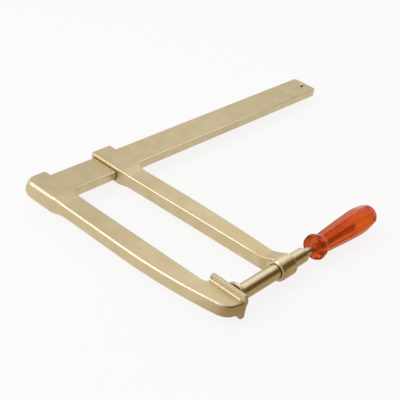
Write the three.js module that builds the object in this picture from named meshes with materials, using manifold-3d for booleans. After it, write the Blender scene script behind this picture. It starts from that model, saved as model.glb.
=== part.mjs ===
import * as THREE from "three";
import { mergeVertices } from "three/addons/utils/BufferGeometryUtils.js";
import Module from "manifold-3d";

// Deep-throat screw clamp, in millimetres.
// The origin is the centre of the fixed jaw's clamping face, on the spindle's axis.
// X runs along the spindle towards the handle, Y towards the rail, and Z is up.
// Both arms, the rail and the spindle share the plane z = 0.

// Clearances
const seatGap = 0.3; // between a piece and what it is seated in
const slideGap = 0.4; // between the rail and the slot that runs along it
const threadGap = 0.3; // between the spindle and the boss's bore
const cutOverrun = 5; // how far a cutting shape runs past the face it opens

// Rail
const throatDepth = 210; // spindle's axis to the rail's near edge
const railWidth = 35;
const railThickness = 10;
const railReach = 415.5; // jaw face to the rail's free end
const railChamfer = 0.8;
const railCornerRadius = 2.5;

// Both arms
const armThickness = 14;
const armChamfer = 1.2;
const rampStart = 4; // rail's near edge to the top of the ramp on a head
const rampLength = 13;
const headProud = 2; // how far a head stands out from its arm's edge

// Fixed arm
const fixedHeadWidth = 26.5;
const fixedHeadThickness = 19;
const fixedHeadCorner = 10; // radius of the outer back corner, seen from above
const fixedHeadSwell = 4; // how far that corner bulges at mid-height
const swellShoulderShare = 0.75; // of the swell, half way up the side
const fixedHeadBackWall = 4;
const railSeatWall = 7; // outer face to the rail's seated end
const fixedRootSetback = 10; // arm's inner edge behind the jaw face, at the head
const fixedTipSetback = 8.8; // the same at the jaw
const fixedRootWidth = 25;
const fixedTipWidth = 16; // across the arm at the spindle's axis
const fixedStraight = 85; // straight length of the outer edge behind the curve
const fixedTipCorner = 9; // spindle's axis to the tip's outer corner
const fixedTipRadius = 8;
const jawFlareLength = 4; // where the inner edge steps out to the jaw plate

// Jaw plate, cast on the fixed arm
const jawPlateThickness = 4;
const jawPlateHeight = 27;
const jawPlateTowardsRail = 26;
const jawPlateBeyondAxis = 16.5;
const jawPlateCorner = 2;
const jawPlateLowCorner = 4; // at the end beyond the spindle's axis
const jawPlateChamfer = 0.6;
const jawPlateLip = 1; // how far the plate stands past the arm's tip
const jawFillet = 1.6;

// Sliding arm
const sliderOpening = 54; // jaw face to the slider head's near face, at rest
const sliderHeadWidth = 27.3;
const sliderHeadThickness = 17.5;
const sliderBackWall = 5;
const sliderHeadCorner = 3;
const sliderTipShift = 5.8; // how far the near edge leans towards the handle
const sliderTipWidth = 18.2;
const sliderBow = 2; // how far the far edge bows out
const bossDiameter = 22.8;
const bossLength = 21.5;
const bossSetback = 9; // slider head's near face to the boss's near face
const bossChamfer = 0.8;
const bossMouthChamfer = 0.8;
const webFlareStart = 18; // spindle's axis to where the web spreads along the boss
const webFlareEnd = 7;
const webFoot = 18; // spindle's axis to where the near edge turns to the boss

// Spindle
const spindleDiameter = 15.6;
const spindleStub = 23.1; // how far the spindle stands out behind the boss
const spindleChamfer = 1;
const neckDiameter = 7.6;
const neckLength = 17.1; // spindle's step to the handle's face
const neckSeat = 4; // how far the round neck runs inside the handle
const tangLength = 62;
const tangChamfer = 1;
const noseDiameter = 7.8;
const noseChamfer = 0.5;
const noseTip = 0.5; // pad's face to the tip of the nose
const shoulderStart = 0.7; // back of the pad to the foot of the spindle's shoulder
const shoulderRise = 1.4; // length of the shoulder's cone

// Pressure pad
const padGap = 2.1; // jaw face to the pad's face, at rest
const padDiameter = 27;
const padRimThickness = 4.4;
const padFrontChamfer = 1;
const padBackChamfer = 0.6;
const padHubLength = 1.5;
const padRecessDiameter = 14.4;
const padRecessDepth = 2.9;
const padHoleDiameter = 9;

// Clip that keeps the pad on the spindle's nose
const clipOuterDiameter = 12.4;
const clipThickness = 0.7;
const clipBack = 0.8; // clip's back face to the floor of the pad's recess
const clipGrooveDepth = 1; // measured on the radius of the nose
const clipMouthDegrees = 70;

// Handle
const handleLength = 102.3;
const handleSides = 8;
const handleTurnDegrees = 41; // turns the flats about the spindle's axis
const flangeDiameter = 27.4;
const flangeThickness = 6.5;
const flangeChamfer = 1.4;
const waistDiameter = 20.6;
const bellyDiameter = 29.4;
const handleEndDiameter = 17;
const waistPlaceShare = 0.13; // of the handle's length, from its front face
const gripPlaceShares = [0.22, 0.34, 0.48, 0.62, 0.75]; // stations along the grip
const gripSwellShares = [0.18, 0.38, 0.62, 0.85, 1]; // of the way from waist to belly
const tailPlaceShares = [0.86, 0.945]; // stations behind the belly
const tailDropShares = [0.17, 0.42]; // of the way from belly to the end's edge
const handleEndShare = 0.99;

// Pins
const headPinDiameter = 5;
const headPinDepth = 20; // how deep a head pin runs into the rail
const headPinInset = 6; // first pin's axis to the head's inner face
const headPinSpacing = 9;
const headPinSink = 0.4;
const stopPinDiameter = 6;
const stopPinInset = 10.5; // pin's axis to the rail's free end
const stopPinProud = 2;
const pinChamfer = 0.5;

// Facets
const roundSides = 48;
const pinSides = 24;
const arcSteps = 10;
const samePlace = 0.001; // stations along an arm closer than this are one station

// Places worked out from the sizes above
const railNear = throatDepth;
const railMiddle = railNear + railWidth / 2;
const railFar = railNear + railWidth;
const rampTop = railNear - rampStart;
const rampFoot = rampTop - rampLength;
const fixedRootOuter = -(fixedRootSetback + fixedRootWidth);
const fixedHeadOuter = fixedRootOuter - headProud;
const fixedHeadInner = fixedHeadOuter + fixedHeadWidth;
const fixedHeadBack = railFar + fixedHeadBackWall;
const railStart = fixedHeadOuter + railSeatWall;
const sliderNear = sliderOpening;
const sliderFar = sliderNear + sliderHeadWidth;
const sliderBack = railFar + slideGap + sliderBackWall;
const bossNear = sliderNear + bossSetback;
const bossFar = bossNear + bossLength;
const padBack = padGap + padRimThickness + padHubLength;
const padRecessFloor = padGap + padRecessDepth;
const clipFar = padRecessFloor - clipBack;
const clipNear = clipFar - clipThickness;
const shoulderFoot = padBack + shoulderStart;
const threadStart = shoulderFoot + shoulderRise;
const spindleRear = bossFar + spindleStub;
const handleFront = spindleRear + neckLength;
const tangStart = handleFront + neckSeat;
const tangEnd = tangStart + tangLength;
const tangWidth = neckDiameter / Math.SQRT2;

const wasm = await Module();
wasm.setup();

// Turns a three.js geometry into a solid that can be joined and cut.
function solid(geometry) {
  const bare = geometry.clone();
  bare.deleteAttribute("normal");
  bare.deleteAttribute("uv");
  const welded = mergeVertices(bare, 1e-4);
  return new wasm.Manifold(
    new wasm.Mesh({
      numProp: 3,
      vertProperties: welded.attributes.position.array,
      triVerts: new Uint32Array(welded.index.array),
    }),
  );
}

// Turns a solid back into a geometry with flat facets.
function geometryOf(body) {
  const mesh = body.getMesh();
  const places = new Float32Array(mesh.numVert * 3);
  for (let i = 0; i < mesh.numVert; i += 1) {
    for (let k = 0; k < 3; k += 1) {
      places[i * 3 + k] = mesh.vertProperties[i * mesh.numProp + k];
    }
  }
  const indexed = new THREE.BufferGeometry();
  indexed.setAttribute("position", new THREE.BufferAttribute(places, 3));
  indexed.setIndex(new THREE.BufferAttribute(mesh.triVerts, 1));
  const faceted = indexed.toNonIndexed();
  faceted.computeVertexNormals();
  return faceted;
}

// A flat outline in X and Y, given a thickness that straddles z = 0 and a chamfer all round.
function slab(outline, thickness, chamfer) {
  const geometry = new THREE.ExtrudeGeometry(outline, {
    depth: thickness - 2 * chamfer,
    bevelEnabled: chamfer > 0,
    bevelThickness: chamfer,
    bevelSize: chamfer,
    bevelOffset: -chamfer,
    bevelSegments: 1,
    curveSegments: arcSteps,
  });
  geometry.translate(0, 0, chamfer - thickness / 2);
  return solid(geometry);
}

// An outline in Y and Z, drawn out along X from one place to another.
function prismAlongX(outline, from, to, chamfer) {
  const geometry = new THREE.ExtrudeGeometry(outline, {
    depth: to - from - 2 * chamfer,
    bevelEnabled: chamfer > 0,
    bevelThickness: chamfer,
    bevelSize: chamfer,
    bevelOffset: -chamfer,
    bevelSegments: 1,
    curveSegments: arcSteps,
  });
  const turn = new THREE.Matrix4().makeBasis(
    new THREE.Vector3(0, 1, 0),
    new THREE.Vector3(0, 0, 1),
    new THREE.Vector3(1, 0, 0),
  );
  geometry.applyMatrix4(turn);
  geometry.translate(from + chamfer, 0, 0);
  return solid(geometry);
}

// A profile of [radius, place along X] pairs, turned about the spindle's axis.
function turned(profile, sides = roundSides, turnDegrees = 0) {
  const points = profile.map(([radius, along]) => new THREE.Vector2(radius, along));
  const start = THREE.MathUtils.degToRad(turnDegrees);
  const geometry = new THREE.LatheGeometry(points, sides, start, 2 * Math.PI);
  geometry.rotateZ(-Math.PI / 2);
  return solid(geometry);
}

function box(from, to) {
  const geometry = new THREE.BoxGeometry(to[0] - from[0], to[1] - from[1], to[2] - from[2]);
  geometry.translate((from[0] + to[0]) / 2, (from[1] + to[1]) / 2, (from[2] + to[2]) / 2);
  return solid(geometry);
}

// A round bar along Y, or along Z once it is tipped, with its middle at the origin.
function bar(diameter, length, chamfer) {
  const radius = diameter / 2;
  const half = length / 2;
  const profile = [
    new THREE.Vector2(0, -half),
    new THREE.Vector2(radius - chamfer, -half),
    new THREE.Vector2(radius, chamfer - half),
    new THREE.Vector2(radius, half - chamfer),
    new THREE.Vector2(radius - chamfer, half),
    new THREE.Vector2(0, half),
  ];
  return new THREE.LatheGeometry(profile, pinSides);
}

// The jaw plate seen from the handle: its far end has the larger corners.
function jawPlateOutline() {
  const half = jawPlateHeight / 2;
  const low = -jawPlateBeyondAxis;
  const high = jawPlateTowardsRail;
  const small = jawPlateCorner;
  const large = jawPlateLowCorner;
  const outline = new THREE.Shape();
  outline.moveTo(low + large, -half);
  outline.lineTo(high - small, -half);
  outline.absarc(high - small, small - half, small, -Math.PI / 2, 0, false);
  outline.lineTo(high, half - small);
  outline.absarc(high - small, half - small, small, 0, Math.PI / 2, false);
  outline.lineTo(low + large, half);
  outline.absarc(low + large, half - large, large, Math.PI / 2, Math.PI, false);
  outline.lineTo(low, large - half);
  outline.absarc(low + large, large - half, large, Math.PI, 1.5 * Math.PI, false);
  return outline;
}

// Reads a list of [place along Y, value] pairs, which runs from high to low places.
function valueAt(pairs, place) {
  for (let i = 1; i < pairs.length; i += 1) {
    const [highPlace, highValue] = pairs[i - 1];
    const [lowPlace, lowValue] = pairs[i];
    if (place >= lowPlace) {
      const share = (highPlace - place) / (highPlace - lowPlace);
      return highValue + share * (lowValue - highValue);
    }
  }
  return pairs[pairs.length - 1][1];
}

// A casting that runs along Y with chamfered edges. Its left and right edges, its half
// thickness and the swell of its left side at mid-height are each a list of pairs.
function casting({ left, right, half, swell }) {
  const last = left[left.length - 1][0];
  const places = [left, right, half, swell]
    .flat()
    .map(([place]) => place)
    .filter((place) => place >= last)
    .sort((a, b) => b - a)
    .filter((place, i, all) => i === 0 || all[i - 1] - place > samePlace);
  const rings = places.map((place) => {
    const near = valueAt(left, place);
    const far = valueAt(right, place);
    const top = valueAt(half, place);
    const edge = top - armChamfer;
    const bulge = valueAt(swell, place);
    const shoulder = near - swellShoulderShare * bulge;
    return [
      [near - bulge, 0],
      [shoulder, edge / 2],
      [near, edge],
      [near + armChamfer, top],
      [far - armChamfer, top],
      [far, edge],
      [far, 0],
      [far, -edge],
      [far - armChamfer, -top],
      [near + armChamfer, -top],
      [near, -edge],
      [shoulder, -edge / 2],
    ].map(([x, z]) => [x, place, z]);
  });
  const count = rings[0].length;
  const faces = [];
  for (let r = 1; r < rings.length; r += 1) {
    for (let k = 0; k < count; k += 1) {
      const next = (k + 1) % count;
      faces.push(rings[r - 1][k], rings[r][k], rings[r][next]);
      faces.push(rings[r - 1][k], rings[r][next], rings[r - 1][next]);
    }
  }
  for (let k = 1; k < count - 1; k += 1) {
    const first = rings[0];
    const end = rings[rings.length - 1];
    faces.push(first[0], first[k], first[k + 1]);
    faces.push(end[0], end[k + 1], end[k]);
  }
  const geometry = new THREE.BufferGeometry();
  geometry.setAttribute("position", new THREE.Float32BufferAttribute(faces.flat(), 3));
  return solid(geometry);
}

// The [place, value] pairs of a curve drawn in X and Y.
function pairsOf(curve, steps) {
  return curve.getPoints(steps).map((point) => [point.y, point.x]);
}

// A rounded outer corner of a head, from its back face down to its straight side.
function headCorner(outer, back, radius) {
  const pairs = [];
  for (let i = 0; i <= arcSteps; i += 1) {
    const angle = Math.PI / 2 + (i / arcSteps) * (Math.PI / 2);
    pairs.push([back - radius + radius * Math.sin(angle), outer + radius + radius * Math.cos(angle)]);
  }
  return pairs;
}

// Half the thickness along an arm: the head, its ramp and the slimmer arm in front of it.
function armHalves(back, headThickness, end) {
  return [
    [back, headThickness / 2 - armChamfer],
    [back - armChamfer, headThickness / 2],
    [rampTop, headThickness / 2],
    [rampFoot, armThickness / 2],
    [end, armThickness / 2],
  ];
}

function headPinPlaces() {
  const first = fixedHeadInner - headPinInset;
  return [first, first - headPinSpacing];
}

const headPinTip = railFar - headPinDepth;
const headPinHead = fixedHeadBack - headPinSink;

function headPinBar(gap) {
  const length = headPinHead - headPinTip + 2 * gap;
  const geometry = bar(headPinDiameter + 2 * gap, length, pinChamfer);
  geometry.translate(0, (headPinHead + headPinTip) / 2, 0);
  return geometry;
}

// The holes for the head pins run out through the back of the head.
function headPinHoles() {
  let holes = null;
  for (const place of headPinPlaces()) {
    const reach = fixedHeadBack + cutOverrun - headPinTip + seatGap;
    const geometry = bar(headPinDiameter + 2 * seatGap, reach, pinChamfer);
    geometry.translate(place, headPinTip - seatGap + reach / 2, 0);
    const hole = solid(geometry);
    holes = holes ? holes.add(hole) : hole;
  }
  return holes;
}

const stopPinPlace = railReach - stopPinInset;

function stopPinBar(gap) {
  const length = railThickness + 2 * stopPinProud + 2 * gap;
  const geometry = bar(stopPinDiameter + 2 * gap, length, pinChamfer);
  geometry.rotateX(Math.PI / 2);
  geometry.translate(stopPinPlace, railMiddle, 0);
  return geometry;
}

function makeRail() {
  const outline = new THREE.Shape();
  outline.moveTo(railStart, railNear);
  outline.lineTo(railReach - railCornerRadius, railNear);
  outline.absarc(
    railReach - railCornerRadius,
    railNear + railCornerRadius,
    railCornerRadius,
    -Math.PI / 2,
    0,
    false,
  );
  outline.lineTo(railReach, railFar - railCornerRadius);
  outline.absarc(
    railReach - railCornerRadius,
    railFar - railCornerRadius,
    railCornerRadius,
    0,
    Math.PI / 2,
    false,
  );
  outline.lineTo(railStart, railFar);
  outline.closePath();
  return slab(outline, railThickness, railChamfer)
    .subtract(solid(stopPinBar(seatGap)))
    .subtract(headPinHoles());
}

// The fixed arm with its head: straight, then curving in along its outer edge to a round tip.
function fixedArmBody() {
  const outerTip = -(fixedTipSetback + fixedTipWidth);
  const curveStart = rampFoot - fixedStraight;
  const lean = (outerTip - fixedRootOuter) / (curveStart / 2);
  const cornerX = outerTip + lean * fixedTipCorner;
  const plateBack = -jawPlateThickness / 2;
  const end = jawPlateLip - jawPlateBeyondAxis;
  const tipCurve = new THREE.QuadraticBezierCurve(
    new THREE.Vector2(cornerX - lean * fixedTipRadius, fixedTipRadius - fixedTipCorner),
    new THREE.Vector2(cornerX, -fixedTipCorner),
    new THREE.Vector2(cornerX + fixedTipRadius, -fixedTipCorner - fixedTipRadius / 2),
  );
  const outerCurve = new THREE.QuadraticBezierCurve(
    new THREE.Vector2(fixedRootOuter, curveStart),
    new THREE.Vector2(fixedRootOuter, curveStart / 2),
    new THREE.Vector2(outerTip, 0),
  );
  return casting({
    left: [
      ...headCorner(fixedHeadOuter, fixedHeadBack, fixedHeadCorner),
      [rampTop, fixedHeadOuter],
      [rampFoot, fixedRootOuter],
      ...pairsOf(outerCurve, arcSteps),
      ...pairsOf(tipCurve, arcSteps),
      [end, plateBack - jawPlateThickness],
    ],
    right: [
      [fixedHeadBack, fixedHeadInner - armChamfer],
      [fixedHeadBack - armChamfer, fixedHeadInner],
      [rampTop, fixedHeadInner],
      [rampFoot, -fixedRootSetback],
      [jawPlateTowardsRail + jawFlareLength, -fixedTipSetback],
      [jawPlateTowardsRail, -jawPlateThickness],
      [jawPlateTowardsRail - jawPlateCorner, plateBack],
      [end, plateBack],
    ],
    half: armHalves(fixedHeadBack, fixedHeadThickness, end),
    swell: [
      [fixedHeadBack, fixedHeadSwell],
      [fixedHeadBack - fixedHeadCorner, fixedHeadSwell],
      [rampTop, 0],
      [end, 0],
    ],
  });
}

// A small fillet of metal where the arm's two faces run into the back of the jaw plate.
function jawFilletOutline() {
  const half = armThickness / 2;
  const low = jawPlateLip - jawPlateBeyondAxis;
  const outline = new THREE.Shape();
  outline.moveTo(-jawPlateThickness - jawFillet, -half);
  outline.lineTo(-jawPlateThickness, -half - jawFillet);
  outline.lineTo(-jawPlateThickness / 2, -half - jawFillet);
  outline.lineTo(-jawPlateThickness / 2, half + jawFillet);
  outline.lineTo(-jawPlateThickness, half + jawFillet);
  outline.lineTo(-jawPlateThickness - jawFillet, half);
  outline.closePath();
  const length = jawPlateTowardsRail - jawPlateCorner - low - jawPlateLip;
  const geometry = new THREE.ExtrudeGeometry(outline, { depth: length, bevelEnabled: false });
  geometry.rotateX(Math.PI / 2);
  geometry.translate(0, jawPlateTowardsRail - jawPlateCorner, 0);
  return solid(geometry);
}

function makeFixedArm() {
  const plate = prismAlongX(
    jawPlateOutline(),
    -jawPlateThickness,
    0,
    jawPlateChamfer,
  );

  const railSeat = box(
    [railStart - seatGap, railNear - seatGap, -railThickness / 2 - seatGap],
    [fixedHeadInner + cutOverrun, railFar + seatGap, railThickness / 2 + seatGap],
  );

  return fixedArmBody()
    .add(plate)
    .add(jawFilletOutline())
    .subtract(railSeat)
    .subtract(headPinHoles());
}

// The sliding arm with its head, down to the web that carries the boss.
function slidingArmBody() {
  const near = sliderNear + headProud;
  const far = sliderFar - headProud;
  const nearTip = near + sliderTipShift;
  const farTip = nearTip + sliderTipWidth;
  const bow = new THREE.QuadraticBezierCurve(
    new THREE.Vector2(far, rampFoot),
    new THREE.Vector2(2 * sliderBow + (far + farTip) / 2, (webFlareStart + rampFoot) / 2),
    new THREE.Vector2(farTip, webFlareStart),
  );
  const flare = new THREE.QuadraticBezierCurve(
    new THREE.Vector2(farTip, webFlareStart),
    new THREE.Vector2(farTip, (webFlareStart + webFlareEnd) / 2),
    new THREE.Vector2(bossFar - bossChamfer, webFlareEnd),
  );
  return casting({
    left: [
      ...headCorner(sliderNear, sliderBack, sliderHeadCorner),
      [rampTop, sliderNear],
      [rampFoot, near],
      [webFoot, nearTip],
      [webFlareEnd, bossNear + bossChamfer],
      [0, bossNear + bossChamfer],
    ],
    right: [
      [sliderBack, sliderFar - armChamfer],
      [sliderBack - armChamfer, sliderFar],
      [rampTop, sliderFar],
      ...pairsOf(bow, arcSteps),
      ...pairsOf(flare, arcSteps),
      [0, bossFar - bossChamfer],
    ],
    half: armHalves(sliderBack, sliderHeadThickness, 0),
    swell: [
      [sliderBack, 0],
      [0, 0],
    ],
  });
}

function makeSlidingArm() {
  const bossRadius = bossDiameter / 2;
  const boss = turned([
    [0, bossNear],
    [bossRadius - bossChamfer, bossNear],
    [bossRadius, bossNear + bossChamfer],
    [bossRadius, bossFar - bossChamfer],
    [bossRadius - bossChamfer, bossFar],
    [0, bossFar],
  ]);

  const boreRadius = spindleDiameter / 2 + threadGap;
  const mouthRadius = boreRadius + bossMouthChamfer;
  const bore = turned([
    [0, bossNear - cutOverrun],
    [mouthRadius, bossNear - cutOverrun],
    [mouthRadius, bossNear],
    [boreRadius, bossNear + bossMouthChamfer],
    [boreRadius, bossFar - bossMouthChamfer],
    [mouthRadius, bossFar],
    [mouthRadius, bossFar + cutOverrun],
    [0, bossFar + cutOverrun],
  ]);

  const slotHalf = railThickness / 2 + slideGap;
  const slot = box(
    [sliderNear - cutOverrun, railNear - slideGap, -slotHalf],
    [sliderFar + cutOverrun, railFar + slideGap, slotHalf],
  );

  return slidingArmBody().add(boss).subtract(bore).subtract(slot);
}

function makeSpindle() {
  const radius = spindleDiameter / 2;
  const neck = neckDiameter / 2;
  const nose = noseDiameter / 2;
  const groove = nose - clipGrooveDepth;
  const noseStart = padGap + noseTip;
  const turnedPart = turned([
    [0, noseStart],
    [nose - noseChamfer, noseStart],
    [nose, noseStart + noseChamfer],
    [nose, clipNear - seatGap],
    [groove, clipNear - seatGap],
    [groove, clipFar + seatGap],
    [nose, clipFar + seatGap],
    [nose, shoulderFoot],
    [radius, threadStart],
    [radius, spindleRear - spindleChamfer],
    [radius - spindleChamfer, spindleRear],
    [neck, spindleRear],
    [neck, tangStart - seatGap],
    [0, tangStart - seatGap],
  ]);
  const side = tangWidth / 2;
  const square = new THREE.Shape();
  square.moveTo(-side, -side);
  square.lineTo(side, -side);
  square.lineTo(side, side);
  square.lineTo(-side, side);
  square.closePath();
  const tang = prismAlongX(square, tangStart - neckSeat / 2, tangEnd - seatGap, tangChamfer);
  return turnedPart.add(tang);
}

function makePad() {
  const rim = padDiameter / 2;
  const hub = spindleDiameter / 2;
  const hole = padHoleDiameter / 2;
  const recess = padRecessDiameter / 2;
  const rimBack = padGap + padRimThickness;
  return turned([
    [hole, padBack],
    [hole, padRecessFloor],
    [recess, padRecessFloor],
    [recess, padGap],
    [rim - padFrontChamfer, padGap],
    [rim, padGap + padFrontChamfer],
    [rim, rimBack - padBackChamfer],
    [rim - padBackChamfer, rimBack],
    [hub, rimBack],
    [hub, padBack],
    [hole, padBack],
  ]);
}

// A spring clip, open on one side so that it pushes into the nose's groove.
function makeClip() {
  const outer = clipOuterDiameter / 2;
  const inner = noseDiameter / 2 - clipGrooveDepth + seatGap;
  const mouth = THREE.MathUtils.degToRad(clipMouthDegrees / 2);
  const outline = new THREE.Shape();
  outline.absarc(0, 0, outer, mouth, 2 * Math.PI - mouth, false);
  outline.absarc(0, 0, inner, 2 * Math.PI - mouth, mouth, true);
  outline.closePath();
  return prismAlongX(outline, clipNear, clipFar, 0);
}

function makeHandle() {
  const flange = flangeDiameter / 2;
  const waist = waistDiameter / 2;
  const belly = bellyDiameter / 2;
  const end = handleEndDiameter / 2;
  const along = (share) => handleFront + share * handleLength;
  const profile = [
    [0, handleFront],
    [flange - flangeChamfer, handleFront],
    [flange, handleFront + flangeChamfer],
    [flange, handleFront + flangeThickness],
    [waist, along(waistPlaceShare)],
  ];
  gripPlaceShares.forEach((place, i) => {
    profile.push([waist + gripSwellShares[i] * (belly - waist), along(place)]);
  });
  tailPlaceShares.forEach((place, i) => {
    profile.push([belly - tailDropShares[i] * (belly - end), along(place)]);
  });
  profile.push([end, along(handleEndShare)]);
  profile.push([0, along(1)]);
  const grip = turned(profile, handleSides, handleTurnDegrees);

  const neck = neckDiameter / 2 + seatGap;
  const neckHole = turned([
    [0, handleFront - cutOverrun],
    [neck, handleFront - cutOverrun],
    [neck, tangStart],
    [0, tangStart],
  ]);
  const side = tangWidth / 2 + seatGap;
  const tangHole = box([handleFront, -side, -side], [tangEnd, side, side]);
  return grip.subtract(neckHole).subtract(tangHole);
}

const bronze = { color: 0xc9b183, roughness: 0.42, metalness: 1 };
const turnedBronze = { color: 0xc4a874, roughness: 0.28, metalness: 1 };
const steel = { color: 0x9a9a96, roughness: 0.35, metalness: 1 };
const amberPlastic = { color: 0xd8461c, roughness: 0.2, metalness: 0 };

function piece(name, geometry, finish) {
  const mesh = new THREE.Mesh(geometry, new THREE.MeshStandardMaterial(finish));
  mesh.name = name;
  return mesh;
}

const clamp = new THREE.Group();

const frame = new THREE.Group();
frame.add(piece("rail", geometryOf(makeRail()), bronze));
frame.add(piece("fixed_arm", geometryOf(makeFixedArm()), bronze));
headPinPlaces().forEach((place, i) => {
  const pin = piece(`head_pin_${i + 1}`, headPinBar(0), steel);
  pin.position.x = place;
  frame.add(pin);
});
frame.add(piece("rail_stop_pin", stopPinBar(0), turnedBronze));
clamp.add(frame);

const slider = new THREE.Group();
slider.add(piece("sliding_arm", geometryOf(makeSlidingArm()), bronze));
clamp.add(slider);

const screw = new THREE.Group();
screw.add(piece("spindle", geometryOf(makeSpindle()), turnedBronze));
screw.add(piece("handle", geometryOf(makeHandle()), amberPlastic));
slider.add(screw);

const padGroup = new THREE.Group();
padGroup.add(piece("pressure_pad", geometryOf(makePad()), turnedBronze));
padGroup.add(piece("pad_clip", geometryOf(makeClip()), steel));
slider.add(padGroup);

export default clamp;
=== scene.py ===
import math
import bmesh
import bpy
from mathutils import Matrix, Vector


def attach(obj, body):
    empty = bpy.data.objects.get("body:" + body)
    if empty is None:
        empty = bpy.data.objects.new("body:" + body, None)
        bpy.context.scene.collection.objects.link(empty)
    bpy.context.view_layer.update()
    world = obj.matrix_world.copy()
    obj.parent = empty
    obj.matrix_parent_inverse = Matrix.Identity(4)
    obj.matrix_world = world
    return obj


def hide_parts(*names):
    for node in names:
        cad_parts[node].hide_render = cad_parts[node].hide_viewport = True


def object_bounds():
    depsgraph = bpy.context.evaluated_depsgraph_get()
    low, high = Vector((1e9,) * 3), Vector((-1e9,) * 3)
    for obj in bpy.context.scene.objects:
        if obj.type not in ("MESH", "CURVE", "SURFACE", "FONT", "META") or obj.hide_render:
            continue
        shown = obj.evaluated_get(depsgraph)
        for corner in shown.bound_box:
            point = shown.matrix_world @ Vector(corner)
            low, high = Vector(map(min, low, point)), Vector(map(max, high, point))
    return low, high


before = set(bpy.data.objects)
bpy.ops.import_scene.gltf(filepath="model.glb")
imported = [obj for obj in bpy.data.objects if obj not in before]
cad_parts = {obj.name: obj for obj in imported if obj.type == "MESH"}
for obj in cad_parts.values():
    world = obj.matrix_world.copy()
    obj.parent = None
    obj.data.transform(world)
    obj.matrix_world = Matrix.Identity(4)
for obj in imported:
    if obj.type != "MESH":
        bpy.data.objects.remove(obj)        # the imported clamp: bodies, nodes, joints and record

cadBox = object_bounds()

# The clamp lies flat. X runs along the spindle to the handle, Y to the rail, Z is up.
# Sizes in the dictionaries are millimetres, as on the drawing.

mm = 0.001
past = 5                 # how far a cutter reaches past the metal


def dropSelection():
    if bpy.context.mode != "OBJECT":
        bpy.ops.object.mode_set(mode="OBJECT")
    bpy.ops.object.select_all(action="DESELECT")


def openPiece(name):
    # names the new primitive, puts its place in the mesh and opens it for editing
    piece = bpy.context.active_object
    piece.name = name
    piece.data.name = name
    bpy.ops.object.transform_apply(location=True, rotation=True, scale=True)
    bpy.ops.object.mode_set(mode="EDIT")
    return piece


def openAgain(piece):
    dropSelection()
    piece.select_set(True)
    bpy.context.view_layer.objects.active = piece
    bpy.ops.object.mode_set(mode="EDIT")


def pick(piece, kind, test):
    # selects verts, edges or faces by their place or normal
    bpy.ops.mesh.select_mode(type={"verts": "VERT", "edges": "EDGE", "faces": "FACE"}[kind])
    bpy.ops.mesh.select_all(action="DESELECT")
    cage = bmesh.from_edit_mesh(piece.data)
    for part in getattr(cage, kind):
        if test(part):
            part.select_set(True)
    bmesh.update_edit_mesh(piece.data)


def edgeAt(edge, x=None, y=None, z=None, reach=0.02):
    # true when both ends of an edge lie at the places given in mm; z is read either side
    if z is not None and abs(edge.verts[0].co.z - edge.verts[1].co.z) > reach * mm:
        return False
    for vert in edge.verts:
        place = vert.co / mm
        if x is not None and abs(place.x - x) > reach:
            return False
        if y is not None and abs(place.y - y) > reach:
            return False
        if z is not None and abs(abs(place.z) - z) > reach:
            return False
    return True


def pickSharpEdges(degrees=30):
    bpy.ops.mesh.select_mode(type="EDGE")
    bpy.ops.mesh.select_all(action="DESELECT")
    bpy.ops.mesh.edges_select_sharp(sharpness=math.radians(degrees))


def roundSharpEdges(radius, segments, degrees=30):
    pickSharpEdges(degrees)
    bpy.ops.mesh.bevel(offset=radius * mm, segments=segments, affect="EDGES")


def faceOutward():
    bpy.ops.mesh.select_all(action="SELECT")
    bpy.ops.mesh.remove_doubles(threshold=0.002 * mm)
    bpy.ops.mesh.normals_make_consistent(inside=False)


def useModifier(piece, kind, **settings):
    dropSelection()
    piece.select_set(True)
    bpy.context.view_layer.objects.active = piece
    modifier = piece.modifiers.new(kind.lower(), kind)
    for key, value in settings.items():
        setattr(modifier, key, value)
    bpy.ops.object.modifier_apply(modifier=modifier.name)


def combine(piece, other, operation):
    dropSelection()
    useModifier(piece, "BOOLEAN", object=other, operation=operation, solver="EXACT")
    bpy.data.objects.remove(other)


def finishShading(piece, degrees=32):
    dropSelection()
    piece.select_set(True)
    bpy.context.view_layer.objects.active = piece
    bpy.ops.object.shade_smooth_by_angle(angle=math.radians(degrees))
    useModifier(piece, "WEIGHTED_NORMAL", keep_sharp=True, weight=60)
    dropSelection()


def dress(piece, material, body, nodes):
    piece.data.materials.clear()
    piece.data.materials.append(material)
    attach(piece, body)
    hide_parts(*nodes)


def block(name, low, high):
    # a cutting or building block between two corners, in mm
    dropSelection()
    middle = [(a + b) / 2 * mm for a, b in zip(low, high)]
    size = [(b - a) * mm for a, b in zip(low, high)]
    bpy.ops.mesh.primitive_cube_add(size=1, location=middle)
    bpy.context.active_object.scale = size
    return openPiece(name)


def turnPiece(name, stations, sides=96, turnDegrees=0, closed=True):
    # grows a ring along X through (place, radius) stations
    dropSelection()
    place, radius = stations[0]
    bpy.ops.mesh.primitive_circle_add(
        vertices=sides,
        radius=radius * mm,
        fill_type="NGON" if closed else "NOTHING",
        location=(place * mm, 0, 0),
    )
    ring = bpy.context.active_object
    ring.rotation_mode = "ZYX"       # set upright first, then turned about X
    ring.rotation_euler = (math.radians(turnDegrees), math.radians(90), 0)
    piece = openPiece(name)
    bpy.ops.mesh.select_all(action="SELECT")
    for nextPlace, nextRadius in stations[1:]:
        step = {"value": ((nextPlace - place) * mm, 0, 0)}
        if closed:
            bpy.ops.mesh.extrude_region_move(TRANSFORM_OT_translate=step)
        else:
            bpy.ops.mesh.extrude_edges_move(TRANSFORM_OT_translate=step)
        share = nextRadius / radius
        bpy.ops.transform.resize(value=(1, share, share), center_override=(nextPlace * mm, 0, 0))
        place, radius = nextPlace, nextRadius
    faceOutward()
    return piece


def steps(start, end, count):
    return [start + (end - start) * i / count for i in range(count + 1)]


def limited(share):
    return min(1, max(0, share))


def eased(share):
    return share * share * (3 - 2 * share)


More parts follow.
